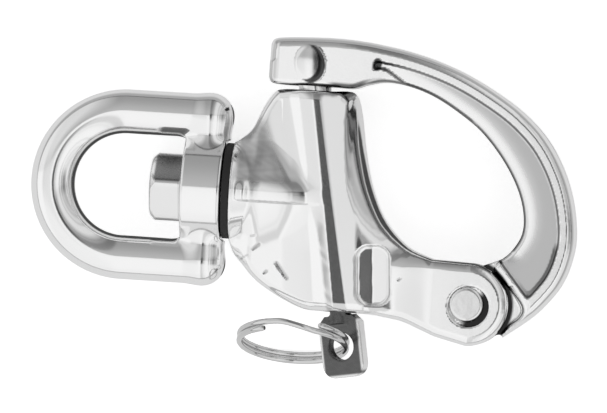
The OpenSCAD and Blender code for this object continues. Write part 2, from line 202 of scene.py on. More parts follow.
# Outlines of the castings: a rung is a point of the lower or inner edge and one of the upper or outer edge
SPLINE_STEPS = 5
FOOT_X = LATCH_TOP[0] + (SHIELD_TOP + SHIELD_DROP) * LATCH_DOWN[0] / -LATCH_DOWN[1]
TOP_X = LATCH_TOP[0]
HOUSING_RUNG = 8
BODY_RUNGS = [
    (0, -NECK_R, 0, NECK_R),
    (0.9, -NECK_R - 2.1, 1.2, NECK_R + 0.8),
    (2.5, -11.6, 2.9, 10.2),
    (5, -14.1, 4.5, 13.8),
    (8.6, -16.3, 6, SHIELD_TOP - 0.6),
    (FOOT_X - 5.9, 0.2 - SHIELD_DROP, TOP_X - 4.9, SHIELD_TOP - 0.1),
    (FOOT_X - 2.9, -SHIELD_DROP, TOP_X - 2.6, SHIELD_TOP),
    (FOOT_X, -SHIELD_DROP, TOP_X, SHIELD_TOP),
    (FOOT_X + 2.9, -SHIELD_DROP, TOP_X + 2.9, SHIELD_TOP),
    (FOOT_X + 5.5, -SHIELD_DROP - 0.1, TOP_X + 6.4, SHIELD_TOP),
    (25.2, -18.4, 20, 13.9),
    (26.5, -18.6, 21.1, 7.6),
    (27.8, -18.8, 22.6, 1.8),
    (29.2, -19.2, 25, -3.3),
    (31.2, -20, 28.6, -7.1),
    (33.7, -21, 32.6, -8.8),
]
GATE_END_RUNG = 16
GATE_RUNGS = [
    (4.9, GATE_BOTTOM + 1.1, 4.9, 23.7),
    (5.3, GATE_BOTTOM + 0.3, 5.4, 24.5),
    (6.6, GATE_BOTTOM, 7, 24.85),
    (11.5, GATE_BOTTOM, 11.5, 25.1),
    (15.5, GATE_BOTTOM, 16, 25.15),
    (18.5, GATE_BOTTOM, 20, 24.9),
    (20.6, GATE_BOTTOM + 0.7, 23, 24.5),
    (23.5, 18.7, 27, 23.8),
    (27, 18.3, 31.5, 22.6),
    (31, 17, 36, 20.9),
    (35, 14.8, 40.8, 18.4),
    (39, 11.9, 45.5, 15.3),
    (42.6, 7.8, 49.6, 11.3),
    (45.2, 3.5, 52.6, 6.4),
    (46.5, -0.5, 54.4, 1.2),
    (46.5, -4, 55.1, -4.2),
    (44.9, -6.9, 54.5, -8.4),
    (HINGE[0] + 4, HINGE[1] + 6.1, 53.3, -11.6),
    (HINGE[0] + 6.4, HINGE[1] + 3.2, 51.7, -14),
    (HINGE[0] + 8.5, HINGE[1] + 0.2, HINGE[0] + 11.3, HINGE[1] - 0.6),
    (HINGE[0] + 8.3, HINGE[1] - 1.4, HINGE[0] + 9.6, HINGE[1] - 2.1),
    (HINGE[0] + 6.9, HINGE[1] - 2.7, HINGE[0] + 7.8, HINGE[1] - 3.5),
    (HINGE[0] + 5.6, HINGE[1] - 4.5, HINGE[0] + 5.9, HINGE[1] - 4.9),
]
SHOULDER = (HINGE + [4, 6.1], HINGE + [8.7, 0.4])
# The tongue's outline, from the hinge
TONGUE = [
    (0, 0), (1, 5.9), (2, 6.25), (4.9, 7.4), (9, 4), (10.5, -0.2), (8.3, -2.3), (6.5, -4.1), (2.5, -5.3),
]


# Numbers and distances

def ramp(v, low, high):
    """0 before low, 1 after high, with a smooth rise between them."""
    t = np.clip((v - low) / (high - low), 0, 1)
    return t * t * (3 - 2 * t)


def soft_min(a, b, k):
    """The union of two fields, with a fillet of size k."""
    t = np.maximum(k - np.abs(a - b), 0) / k
    return np.minimum(a, b) - t * t * k / 4


def soft_max(a, b, k):
    """What two fields share, with a fillet of size k."""
    return -soft_min(-a, -b, k)


def round_max(a, b, r):
    """What two fields share, with an edge of radius r."""
    return np.minimum(-r, np.maximum(a, b)) + np.hypot(np.maximum(a + r, 0), np.maximum(b + r, 0))


def turned(u, v, angle):
    """A point of a plane in axes turned by an angle."""
    c, s = math.cos(angle), math.sin(angle)
    return u * c + v * s, v * c - u * s


def smooth_rows(rows, steps):
    """The smooth curve through rows of numbers, with steps from each row to the next."""
    rows = np.array(rows, float)
    padded = np.vstack([rows[:1], rows, rows[-1:]])
    t = np.arange(steps)[:, None] / steps
    curve = []
    for a, b, c, d in zip(padded, padded[1:], padded[2:], padded[3:]):
        linear = (c - a) * t / 2
        square = (2 * a - 5 * b + 4 * c - d) * t**2 / 2
        cubic = (3 * b - a - 3 * c + d) * t**3 / 2
        curve.append(b + linear + square + cubic)
    return np.vstack(curve + [rows[-1:]])


def line_distance(x, y, points):
    """Distance from points of a plane to an open line of segments."""
    best = np.full(np.broadcast(x, y).shape, 1e9)
    for (ax, ay), (bx, by) in zip(points[:-1], points[1:]):
        dx, dy = bx - ax, by - ay
        t = np.clip(((x - ax) * dx + (y - ay) * dy) / (dx * dx + dy * dy + 1e-12), 0, 1)
        best = np.minimum(best, (x - ax - t * dx) ** 2 + (y - ay - t * dy) ** 2)
    return np.sqrt(best)


def outline_distance(x, y, points):
    """Distance to a closed outline, below 0 inside it."""
    closed = np.vstack([points, points[:1]])
    inside = np.zeros(np.broadcast(x, y).shape, bool)
    for (ax, ay), (bx, by) in zip(closed[:-1], closed[1:]):
        if ay != by:
            inside ^= ((ay > y) != (by > y)) & (x < (bx - ax) * (y - ay) / (by - ay) + ax)
    return np.where(inside, -1, 1) * line_distance(x, y, closed)


def hinge_distance(x, y):
    return np.hypot(x - HINGE[0], y - HINGE[1])


def latch_frame(x, y):
    """How far a point lies beside the latch line and along it."""
    px, py = x - LATCH_TOP[0], y - LATCH_TOP[1]
    return -px * LATCH_DOWN[1] + py * LATCH_DOWN[0], px * LATCH_DOWN[0] + py * LATCH_DOWN[1]


def tab_frame(side, down, z):
    """A point across the tab, through it and along it."""
    across, through = turned(side, z, TAB_TURN)
    return across, through, down - TAB_START


# Curves of the outlines

EAR_ARC = [
    (HINGE[0] + EAR_R * math.cos(a), HINGE[1] + EAR_R * math.sin(a))
    for a in np.radians(np.arange(92, -93, -6))
]
BODY_CURVE = smooth_rows(BODY_RUNGS, SPLINE_STEPS)
BODY_OUTLINE = np.vstack([BODY_CURVE[:, 2:], EAR_ARC, BODY_CURVE[::-1, :2]])
BOW_START = HOUSING_RUNG * SPLINE_STEPS
BOW_EDGE = BODY_CURVE[BOW_START:, 2:]
REST_EDGE = np.vstack([BODY_CURVE[::-1, :2], BODY_CURVE[: BOW_START + 1, 2:]])
GATE_CURVE = smooth_rows(GATE_RUNGS, SPLINE_STEPS)
GATE_OUTLINE = np.vstack([GATE_CURVE[:, 2:], GATE_CURVE[::-1, :2]])
GATE_OUTER = GATE_CURVE[:, 2:]
GATE_INNER = GATE_CURVE[: GATE_END_RUNG * SPLINE_STEPS, :2]
TONGUE_OUTLINE = np.array(TONGUE) + HINGE


# Fields of the body: below 0 in the metal, in millimetres

def bow_edge_r(x):
    """Radius of the edge towards the hook's opening, fuller beside the housing."""
    return 1.5 + 2.8 * ramp(x, 15.5, 19) * (1 - ramp(x, 24, 33))


def rib_height(x, y):
    """The rib along the swivel axis: crisp on its lower side, soft on its upper one."""
    upper = 1 - ramp(y, RIB_HALF - 0.9, RIB_HALF + 1.6)
    lower = 1 - ramp(-y, RIB_HALF - 0.2, RIB_HALF + 0.3)
    side, _ = latch_frame(x, y)
    return RIB_H * (upper * lower) * ramp(x, 0.6, 2.6) * (1 - ramp(side, -1, 1))


def wedge_depth(x, y):
    """The long narrow hollow near the shield's upper corner."""
    share = (y - 9.7) / 5.5
    left, right = 7.5 - 2.1 * share, 7.6 - 0.4 * share
    width = np.maximum(right - left, 0.01)
    depth = 0.075 * np.clip(x - left, 0, width) * (1 - ramp(x, right, right + 0.2))
    return depth * ramp(share, 0, 0.1) * (1 - ramp(share, 0.92, 1))


def web_top(x, y, side):
    """Height of the domed shield, of the arm right of the housing and of the ears."""
    shield = SHIELD_EDGE_HALF + DOME * (1 - np.abs(y) / SHIELD_TOP) - wedge_depth(x, y)
    arm = ARM_HALF + ARM_SLOPE * (y + 13) * ramp(x, 18, 26) * (1 - ramp(x, 27, 34))
    arm = arm - ARM_FALL * ramp(y, -12, 2)
    web = shield * (0.45 + 0.55 * ramp(x, 0, 4)) + (arm - shield) * ramp(side, 0, 6)
    return web + (EAR_HALF - arm) * ramp(x, 26, 33)


def housing_top(y, side):
    """Height of the plunger's housing: a cylinder with straight flanks and a flat, slanted crown."""
    crease = CREASE + 0.3 - 0.9 * ramp(-y, 1, 9)
    cylinder = np.sqrt(HOUSING_R**2 - np.clip(side, -crease, RIGHT_SIDE) ** 2)
    flanks = np.minimum(side + crease, 0) * LEFT_FLANK - np.maximum(side - RIGHT_SIDE, 0) * RIGHT_FLANK
    facet = 0.72 - 0.018 * y
    centre = 0.32 + 0.018 * y
    crown = HOUSING_R - (centre**2 + facet**2) / (2 * HOUSING_R) - (side - centre) * FACET_SLOPE
    return soft_min(cylinder + flanks, crown, 0.03)


def body_top(x, y, side):
    """Height of the body's face, without its neck, edges, pocket and holes."""
    fillet = 0.7 + FILLET * ramp(-side, 2, 5) + 0.8 * ramp(side, 3, 5)
    return -soft_min(-web_top(x, y, side) - rib_height(x, y), -housing_top(y, side), fillet)


def marks(x, y, z):
    """Casting marks on the front face, as depths."""
    depth = 0
    for start, end, radius, deep in MARKS:
        away = line_distance(x, y, (start, end))
        depth = depth + deep * (1 - ramp(away, 0.3 * radius, radius))
    return depth * (z > 0)


def body_edge_r(x, y):
    """Radius of the body's rounded edge near a point."""
    near_bow = ramp(line_distance(x, y, REST_EDGE) - line_distance(x, y, BOW_EDGE), -0.5, 2.5)
    edge = 0.3 + 1.2 * ramp(x, 0, 2.5)
    return edge + (bow_edge_r(x) - edge) * near_bow


def pocket_field(x, y, height):
    """The arm's pocket, whose floor falls to a valley."""
    px, py = turned(x - POCKET[0], y - POCKET[1], POCKET_TILT)
    walls = round_max(np.abs(px) - POCKET_HALF[0], np.abs(py) - POCKET_HALF[1], POCKET_CORNER)
    fall = 0.0735 * np.hypot(px - POCKET_VALLEY, 0.1) - 0.0135 * (px - POCKET_VALLEY)
    return round_max(walls, ARM_HALF - POCKET_DEPTH + fall - height, 0.5)


def cut_hinge(metal, x, y, height):
    """The body with the rivet's recess and hole, and the slot for the gate's tongue."""
    from_hinge = hinge_distance(x, y)
    from_recess = hinge_distance(x - PIN_RECESS_SHIFT[0], y - PIN_RECESS_SHIFT[1])
    recess = np.maximum(from_recess - PIN_RECESS_R + 0.4, EAR_HALF - PIN_RECESS_DEPTH - height)
    metal = soft_max(metal, -recess, 0.25)
    metal = np.maximum(metal, PIN_R + 0.02 - from_hinge)
    slot = np.maximum(from_hinge - EAR_ROOM_R, height - SLOT_HALF)
    return soft_max(metal, -slot, 0.3)


def body_field(x, y, z):
    """The cast body: neck, shield, housing, arm and ears, with their holes."""
    x = x - FACE_X
    height = np.abs(z)
    side, down = latch_frame(x, y)
    plate = (height - body_top(x, y, side)) * 0.9
    neck = np.hypot(y, z) - np.maximum(NECK_R - NECK_TAPER * x, 0) - rib_height(x, y)
    metal = soft_min(plate, neck, 0.8 + 3.2 * ramp(x, 0.3, 5)) + marks(x, y, z)
    metal = round_max(metal, outline_distance(x, y, BODY_OUTLINE), body_edge_r(x, y))
    metal = soft_max(metal, -pocket_field(x, y, height), 0.3)
    metal = cut_hinge(metal, x, y, height)
    from_line = np.hypot(side, z)
    bore = np.maximum(from_line - HEAD_R - BORE_GAP, down - BORE_STEP)
    return np.maximum(metal, -np.minimum(bore, from_line - TAIL_R - BORE_GAP))


# Fields of the gate

def gate_rim(x, y):
    """How far the sunk panel reaches past its rim at a point, and the distance to the inner edge."""
    outer = line_distance(x, y, GATE_OUTER)
    inner = line_distance(x, y, GATE_INNER)
    (ax, ay), (bx, by) = SHOULDER
    across = ((x - ax) * (ay - by) + (y - ay) * (bx - ax)) / math.hypot(bx - ax, by - ay)
    rim = soft_min(outer - GATE_RIM_W, across - 1.1, 0.8)
    upper = y > TIP_MIDDLE_Y
    rim = soft_min(rim, np.where(upper, x - PANEL_START_X, 9), 0.8)
    inner_rim = inner - 1.9 + 1.9 * ramp(x, 22.5, 27) + 1.9 * ramp(-y, -14, -8)
    return np.where(upper, soft_min(rim, inner_rim, 0.6), rim), inner


def tip_oval(side, down, centre):
    """1 on an oval of the tip, and less inside it."""
    return np.hypot((side - centre[0]) / BULGE_HALF[0], (down - centre[1]) / BULGE_HALF[1])


def bulge_field(side, down, height):
    """The oval bulge over the latch pin's socket."""
    oval = tip_oval(side, down, BULGE_AT)
    dome = GATE_HALF - 0.15 + 0.4 * np.sqrt(np.maximum(1.3 - oval * oval, 0))
    return round_max((oval - 1) * 2.3, height - dome, 0.3)


def tongue_field(x, y, height):
    """The flat tongue that turns between the body's ears."""
    tongue = outline_distance(x, y, TONGUE_OUTLINE)
    return round_max(np.minimum(tongue, hinge_distance(x, y) - TONGUE_R), height - TONGUE_HALF, 0.2)


def gate_field(x, y, z):
    """The cast gate: a rimmed bar with a sunk panel, its tip and its tongue."""
    x = x - FACE_X
    height = np.abs(z)
    outline = outline_distance(x, y, GATE_OUTLINE)
    outer = line_distance(x, y, GATE_OUTER)
    rim, inner = gate_rim(x, y)
    panel = PANEL_DEPTH * (1 - 0.14 * ramp(inner, 0.2, 3.6)) * ramp(rim, 0, 0.5)
    tip = ramp(-x, -6.5, -4.5) * 0.6
    lip = 0.22 * np.maximum(1.3 - outer, 0)
    plate = (height - GATE_HALF + panel + tip + lip) * 0.8
    metal = round_max(plate, outline, 0.8 + 0.7 * ramp(inner - outer, -0.5, 0.5))
    side, down = latch_frame(x, y)
    metal = soft_min(metal, round_max(bulge_field(side, down, height), outline, 1.0), 0.5)
    metal = soft_min(metal, tongue_field(x, y, height), 0.3)
    metal = np.maximum(metal, PIN_R + HOLE_GAP - hinge_distance(x, y))
    run = np.clip(-side, 0, SOCKET_RUN)
    socket = np.maximum(np.hypot(side + run, z) - HEAD_R - SOCKET_GAP, -down - SOCKET_DEPTH)
    return np.maximum(metal, -socket)


# Fields of the other pieces

def eye_field(x, y, z):
    """The cast eye: a round bow, a crossbar and a bored boss between faced ends."""
    past = np.maximum(x - EYE_LEG_L, 0)
    rod = np.sqrt((np.hypot(np.minimum(x, 0), y) - EYE_BOW_R) ** 2 + z * z + past * past) - EYE_ROD_R
    beyond = np.maximum(np.abs(y) - EYE_BOW_R, 0)
    crossbar = np.sqrt((x - EYE_LEG_L) ** 2 + z * z + beyond**2) - EYE_CROSSBAR_R
    from_axis = np.hypot(y, z)
    middle, half = (BOSS_START + BOSS_END) / 2, (BOSS_END - BOSS_START) / 2
    boss = round_max(from_axis - BOSS_R, np.abs(x - middle) - half, 0.5)
    metal = soft_min(soft_min(rod, crossbar, 1.2), boss, 1.8)
    faced = from_axis - BOSS_R - 0.3
    metal = soft_max(metal, -np.maximum(BOSS_END - x, faced), 0.3)
    room = np.abs(x - BOSS_START + BOLT_ROOM_L / 2) - BOLT_ROOM_L / 2
    metal = soft_max(metal, -np.maximum(room, faced), 0.2)
    return np.maximum(metal, np.minimum(BOLT_R + HOLE_GAP - from_axis, x - BOSS_START + BOLT_ROOM_L))


def bolt_field(x, y, z):
    """The swivel's bolt: a square head with rounded corners on a round shank."""
    a, b = turned(y, z, BOLT_HEAD_TURN)
    from_axis = np.hypot(y, z)
    start, end = BOSS_START - BOLT_HEAD_L, BOSS_START - BOLT_HEAD_GAP
    sides = round_max(np.abs(a) - BOLT_HEAD_HALF, np.abs(b) - BOLT_HEAD_HALF, 0.35)
    cap = from_axis + (start - x) * 1.1 - BOLT_HEAD_ROUND_R + 1.0
    head = soft_max(sides, np.maximum(from_axis - BOLT_HEAD_ROUND_R, cap * 0.67), 0.3)
    head = round_max(head, np.maximum(start - x, x - end), 0.3)
    shank = np.maximum(from_axis - BOLT_R, np.maximum(start + 1 - x, x - FACE_X - BOLT_REACH))
    return np.minimum(head, shank)


def pin_field(x, y, z):
    return round_max(hinge_distance(x - FACE_X, y) - PIN_R, np.abs(z) - PIN_HALF, 0.5)


def washer_field(x, y, z):
    from_axis = np.hypot(y, z)
    ring = round_max(from_axis - WASHER_R, np.abs(x - FACE_X + WASHER_HALF) - WASHER_HALF, 0.15)
    return np.maximum(ring, BOLT_R + HOLE_GAP - from_axis)


def tab_field(across, through, along):
    """The flattened end of the plunger, with sloping shoulders and the ring's hole."""
    plate = round_max(np.abs(across) - TAB_HALF_W, np.abs(along - TAB_L / 2) - TAB_L / 2, TAB_CORNER)
    square = np.maximum(np.abs(across) - TAB_HALF_W, np.abs(along - TAB_L / 4) - TAB_L / 4)
    plate = np.minimum(plate, square)
    plate = np.maximum(plate, (np.abs(across) - along - TAB_HALF_W + TAB_SHOULDER) * 0.707)
    plate = soft_max(plate, TAB_HOLE_R - np.hypot(across, along - TAB_HOLE_AT), 0.2)
    return round_max(plate, np.abs(through) - TAB_HALF_T, 0.3)


def plunger_field(x, y, z):
    side, down = latch_frame(x - FACE_X, y)
    from_line = np.hypot(side, z)
    middle, half = (HEAD_L - HEAD_RISE) / 2, (HEAD_L + HEAD_RISE) / 2
    head = round_max(from_line - HEAD_R, np.abs(down - middle) - half, 0.5)
    tail = np.maximum(from_line - TAIL_R, np.maximum(HEAD_L - 1 - down, down - TAB_START - TAB_SHOULDER))
    return soft_min(np.minimum(head, tail), tab_field(*tab_frame(side, down, z)), 0.6)


# Shades: how much painted shade darkens the steel at each point, and how dull it is, from 0 to 1

def body_corner(x, y):
    """The dull corner of the shield between the rib and the neck's upper side, which body_shades also
    darkens with painted shade.
    """
    left = ramp(y, 1.3, 2.1) * (1 - ramp(y, 9.5, 14))
    return left * (1 - ramp(x + 0.41 * y, 8.4, 10.4)) * ramp(x, 0.3, 1.5)


def housing_painted_shade(x, y, z):
    """A soft strip of painted shade beside the crease, on the housing's front."""
    side, _ = latch_frame(x, y)
    strip = ramp(side, 0.1 - CREASE, 0.6 - CREASE) * (1 - ramp(side, -1.0, -0.5)) * ramp(-y, 2, 6)
    strip = strip * (0.7 + 0.3 * np.sin(1.9 * y + 2 * np.sin(1.3 * y + 2 * x)))
    return strip * 0.4 * (z > 3)


def body_shades(x, y, z):
    """Painted shade in the rivet's recess, the slot, the marks, along the top edge, beside the housing's
    crease and in the shield's corner, which is also dull.
    """
    x = x - FACE_X
    # Painted shadow on the lower right wall of the rivet's recess; painted shade in the tongue's slot and
    # along the top edge, under the gate
    lower_right = ramp((x - HINGE[0]) * 0.85 - (y - HINGE[1]) * 0.5, 0.4, 1.6)
    recess = ramp(PIN_RECESS_R + 0.2 - hinge_distance(x, y), 0, 0.2) * lower_right
    recess = recess * ramp(EAR_HALF - np.abs(z), 0.1, 0.4)
    slot = ramp(SLOT_HALF + 0.3 - np.abs(z), 0, 0.3) * ramp(x, 29, 30) * 0.4
    top = ramp(y, SHIELD_TOP - 0.25, SHIELD_TOP) * 0.8
    corner = body_corner(x, y)
    # Painted shade in the shield's corner, mottled
    mottle = 0.85 + 0.15 * np.sin(2.1 * x + 1.7 * np.sin(2.6 * y)) * np.sin(3.1 * y + 1.2 * x)
    corner_shade = 0.46 * mottle * corner * (z > 0)
    # The marks are real grooves, darkened with painted shade
    marked = np.minimum(marks(x, y, z) * 8, 0.45)
    painted_shade = np.maximum.reduce([recess, slot, top, corner_shade, marked, housing_painted_shade(x, y, z)])
    return {"painted_shade": painted_shade, "dull": corner * 0.9}


def panel_wall_shade(x, y, height):
    """Painted shade on the wall round the gate's panel, broader at its lower right."""
    rim, _ = gate_rim(x, y)
    rise = ramp(rim, 0.0, 0.12)
    broad = ramp(-y, 4, 6.5) * ramp(x, 44, 50) * (1 - ramp(rim, 0.8, 1.0))
    wall = rise * np.maximum(1 - ramp(rim, 0.3, 0.5), broad)
    return wall * ramp(height, GATE_HALF - 1.6, GATE_HALF - 1.2)


def tip_painted_shade(x, y, z):
    """Painted shade: the crescent beside the bulge and the notch at the panel's start, on the front."""
    side, down = latch_frame(x, y)
    oval = tip_oval(side, down, BULGE_AT)
    shifted = tip_oval(side, down, CRESCENT_AT)
    crescent = (1 - ramp(oval, 1.05, 1.12)) * ramp(shifted, 1.0, 1.08)
    notch = 1 - ramp(np.hypot((x - 22.1) / 0.75, (y - 21.6) / 0.85), 0.85, 1.05)
    return np.maximum(crescent, notch) * (z > 0) * 0.95


def gate_shades(x, y, z):
    """Painted shade in the gaps at the hinge and the tip, along the inner edge and on the panel's wall,
    darker at the left end; dull and a little darker in the panel.
    """
    x = x - FACE_X
    height = np.abs(z)
    rim, inner = gate_rim(x, y)
    # Painted shade in the seam round the hinge, in the gap along the gate's lower edge above the body and
    # along its inner edge
    gap = 1 - ramp(hinge_distance(x, y), EAR_R + 0.5, EAR_R + 0.9)
    gap = gap * ramp(GATE_HALF + 0.2 - height, 0, 0.3)
    gap = gap * (1 - 0.8 * ramp(TONGUE_HALF - height, 0.1, 0.4))
    bottom = ramp(GATE_BOTTOM + 0.25 - y, 0, 0.2) * ramp(19 - x, 0, 2) * 0.8
    edge = (1 - ramp(inner, 0.25, 0.6)) * ramp(x, 18, 22) * 0.75
    under = (1 - ramp(inner, 0.5, 0.95)) * ramp(x, 13.8, 15.6) * (1 - ramp(x, 19.5, 22)) * 0.85
    dull = ramp(rim, 0.2, 0.6) * ramp(height, 2.5, 3) * ramp(inner, 0.8, 3.4) * ramp(x, 24, 33)
    # Darker at the gate's left end, on the front
    end = (1 - ramp(x, 5.7, 6.3)) * ramp(z, 3, 3.4) * 0.25
    wall = panel_wall_shade(x, y, height) * 0.8
    # The dull panel is painted a little darker too
    painted_shade = np.maximum.reduce([gap, bottom, edge, under, end, wall, 0.22 * dull, tip_painted_shade(x, y, z)])
    return {"painted_shade": painted_shade, "dull": dull}


def bolt_shades(x, y, z):
    """Painted dark reflection on the head's upper flat, on the front, which is also dull."""
    a, b = turned(y, z, BOLT_HEAD_TURN)
    flat = ramp(a, BOLT_HEAD_HALF - 0.15, BOLT_HEAD_HALF - 0.05)
    flat = flat * ramp(x, BOSS_START - 4.6, BOSS_START - 4.2)
    return {"painted_shade": 0.72 * flat * ramp(b, -2.9, -2.6), "dull": 0.5 * flat}


def plunger_shades(x, y, z):
    """Painted shade on the tab's flat faces, which are also dull, inside a rim left clean."""
    across, _, along = tab_frame(*latch_frame(x - FACE_X, y), z)
    mottle = 0.88 + 0.01 * np.sin(2.7 * x + 1.4 * np.sin(3.3 * y)) * np.sin(4.7 * y)
    from_rim = np.minimum(TAB_HALF_W - np.abs(across), TAB_L - along)
    tab = ramp(along, -2.2, -1.6) * ramp(from_rim, 0.25, 0.6)
    return {"painted_shade": mottle * tab, "dull": 0.5 * tab}


# Meshes

# How often a point moves towards the surface, and how far from its cell's middle it may lie, in cells
SETTLE_PASSES = 4
SETTLE_REACH = 0.55


def gradient(field, points, step=0.01):
    """Slope of a field at points, and the field there."""
    slopes = []
    for axis in range(3):
        shift = np.zeros(3)
        shift[axis] = step
        ahead, behind = (points + shift).T, (points - shift).T
        slopes.append((field(*ahead) - field(*behind)) / (2 * step))
    return np.stack(slopes, 1), field(*points.T)


def crossed_cells(inside):
    """The cells of a grid that have corners on both sides of a surface."""
    shape = [n - 1 for n in inside.shape]
    count = np.zeros(shape, np.int8)
    for i, j, k in np.ndindex(2, 2, 2):
        count += inside[i : i + shape[0], j : j + shape[1], k : k + shape[2]]
    return (count > 0) & (count < 8)


def settled(field, middle, step):
    """Points moved from the middles of their cells onto the surface, with their normals."""
    points = middle.copy()
    reach = SETTLE_REACH * step
    for _ in range(SETTLE_PASSES):
        slope, value = gradient(field, points)
        points -= slope * (value / np.maximum((slope**2).sum(1), 0.05))[:, None]
        points = np.clip(points, middle - reach, middle + reach)
    slope, _ = gradient(field, points, 0.03)
    return points, slope / np.maximum(np.linalg.norm(slope, axis=1), 1e-9)[:, None]


def quads_along(axis, inside, number):
    """A quad round each grid edge along an axis that passes through the surface."""
    here = [slice(None)] * 3
    there = [slice(None)] * 3
    here[axis], there[axis] = slice(None, -1), slice(1, None)
    starts, ends = inside[tuple(here)], inside[tuple(there)]
    edges = np.argwhere(starts != ends)
    leaving = starts[tuple(edges.T)]
    u, w = np.eye(3, dtype=int)[(axis + 1) % 3], np.eye(3, dtype=int)[(axis + 2) % 3]
    corners = [number[tuple((edges - du * u - dw * w).T)] for du, dw in ((1, 1), (0, 1), (0, 0), (1, 0))]
    quad = np.stack(corners, 1)
    return np.where(leaving[:, None], quad, quad[:, ::-1])


def net(field, low, high, step):
    """Points, quads and normals of a field's surface, with one point in each cell that it crosses."""
    axes = [np.arange(a - 2 * step, b + 2.5 * step, step) for a, b in zip(low, high)]
    grid = np.meshgrid(*axes, indexing="ij", sparse=True)
    inside = np.broadcast_to(field(*grid) < 0, [len(a) for a in axes])
    crossed = crossed_cells(inside)
    number = np.full(crossed.shape, -1, np.int64)
    number[crossed] = np.arange(crossed.sum())
    middle = np.argwhere(crossed) * step + [a[0] + step / 2 for a in axes]
    points, normals = settled(field, middle, step)
    quads = [quads_along(axis, inside, number) for axis in range(3)]
    return points, np.vstack(quads), normals


def linked(name, mesh):
    """A new object of the scene that shows a mesh."""
    obj = bpy.data.objects.new(name, mesh)
    bpy.context.scene.collection.objects.link(obj)
    return obj


def make_object(name, points, faces, normals=None, flat_faces=0):
    """A mesh object from points in millimetres, smooth apart from its last flat_faces faces."""
    mesh = bpy.data.meshes.new(name)
    mesh.from_pydata((points * MM).tolist(), [], faces)
    smooth = [True] * (len(faces) - flat_faces) + [False] * flat_faces
    mesh.polygons.foreach_set("use_smooth", smooth)
    if normals is not None:
        mesh.normals_split_custom_set_from_vertices(normals.tolist())
    mesh.update()
    return linked(name, mesh)


def cast_piece(name, field, node, body, step, material, shades=None):
    """A piece grown from a field inside its CAD node's box, which it replaces."""
    low, high = (np.array(corner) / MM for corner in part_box(node))
    points, faces, normals = net(field, low, high, step * (1))
    piece = make_object(name, points, faces.tolist(), normals)
    for shade, values in (shades(*points.T) if shades else {}).items():
        attribute = piece.data.attributes.new(shade, "FLOAT", "POINT")
        attribute.data.foreach_set("value", values.astype(np.float32))
    dress(piece, material, node, body)


def dress(piece, material, node, body):
    """Give a piece its material, and the place of its CAD node."""
    piece.data.materials.append(material)
    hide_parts(node)
    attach(piece, body)


def ring_section(i, steps):
    """One round of points on the split ring's wire, before the ring is tilted."""
    turn = i / RING_PER_TURN
    a = RING_START + 2 * math.pi * turn
    rise = RING_PITCH * (0.5 - float(ramp(turn, 1 - RING_GAP, 1 - RING_STEP_END)))
    end = min(i, steps - i) * 2 * math.pi * RING_R / RING_PER_TURN
    wire_r = (RING_WIRE_R - RING_INSET) * min(1, RING_END_SHARE + (1 - RING_END_SHARE) * end / RING_TAPER_L)
    over = RING_R * math.sin(a) * math.cos(RING_TILT) + rise * math.sin(RING_TILT) - RING_CREST
    bend = max(over, 0) / math.cos(RING_TILT)
    points = []
    for k in range(RING_SIDES):
        b = 2 * math.pi * k / RING_SIDES
        q = RING_R - bend + wire_r * math.cos(b)
        points.append((q * math.cos(a), q * math.sin(a), rise - wire_r * math.sin(b)))
    return points


def ring_coil():
    """The split ring: nearly two turns side by side, with one step over between the wire's ends."""
    sides = RING_SIDES
    steps = round(RING_PER_TURN * (2 - RING_GAP))
    points = [point for i in range(steps + 1) for point in ring_section(i, steps)]
    faces = []
    for i in range(steps):
        for k in range(sides):
            one, two = i * sides + k, i * sides + (k + 1) % sides
            faces.append((one, two, two + sides, one + sides))
    faces.append(tuple(range(sides - 1, -1, -1)))
    faces.append(tuple(steps * sides + k for k in range(sides)))
    tilt = np.array(Matrix.Rotation(math.pi / 2 - RING_TILT, 3, "X"))
    return make_object("ring_wire", np.array(points) @ tilt.T + RING_CENTRE, faces, flat_faces=2)


def spring_wire():
    """The latch's spring, as the CAD has it."""
    node = frame["nodes"]["plunger_spring"]
    mesh = node.data.copy()
    mesh.materials.clear()
    obj = linked("spring_wire", mesh)
    obj.matrix_world = node.matrix_world
    return obj


# Materials

def new_material(name):
    """A material with its nodes and links."""
    material = bpy.data.materials.new(name)
    material.use_nodes = True
    return material, material.node_tree.nodes, material.node_tree.links


def mapped(nodes, links, source, low, high, start, end):
    """A value carried from one range to another, with a smooth rise."""
    node = nodes.new("ShaderNodeMapRange")
    node.interpolation_type = "SMOOTHSTEP"
    node.inputs["From Min"].default_value = low
    node.inputs["From Max"].default_value = high
    node.inputs["To Min"].default_value = start
    node.inputs["To Max"].default_value = end
    links.new(source, node.inputs["Value"])
    return node.outputs["Result"]


def combined(nodes, links, operation, a, b):
    node = nodes.new("ShaderNodeMath")
    node.operation = operation
    links.new(a, node.inputs[0])
    links.new(b, node.inputs[1])
    return node.outputs[0]


def mixed(nodes, links, factor, start, end):
    """A value that goes from the number start to the value end with a factor."""
    mix = nodes.new("ShaderNodeMix")
    mix.inputs["A"].default_value = start
    links.new(end, mix.inputs["B"])
    links.new(factor, mix.inputs["Factor"])
    return mix.outputs["Result"]


def shade_of(nodes, name):
    node = nodes.new("ShaderNodeAttribute")
    node.attribute_name = name
    return node.outputs["Fac"]


def noise(nodes, links, place, size, detail=2):
    node = nodes.new("ShaderNodeTexNoise")
    node.inputs["Scale"].default_value = 1 / (size * MM)
    node.inputs["Detail"].default_value = detail
    links.new(place, node.inputs["Vector"])
    return node.outputs["Fac"]


def bumped(nodes, links, height, distance):
    """A normal bent by a height of so many millimetres."""
    bump = nodes.new("ShaderNodeBump")
    bump.inputs["Strength"].default_value = 1
    bump.inputs["Distance"].default_value = distance * MM
    links.new(height, bump.inputs["Height"])
    return bump.outputs["Normal"]


# Near black, mixed into the steel's colour as painted shade
PAINTED_SHADE_COLOUR = (0.03, 0.03, 0.03, 1)
DULL_ROUGHNESS = 0.3
GRAIN_SIZE = 0.25
GRAIN_DETAIL = 3
PLASTIC = (0.012, 0.012, 0.012, 1)
PLASTIC_ROUGHNESS = (0.55, 0.8)
PLASTIC_GRAIN_SIZE = 0.3


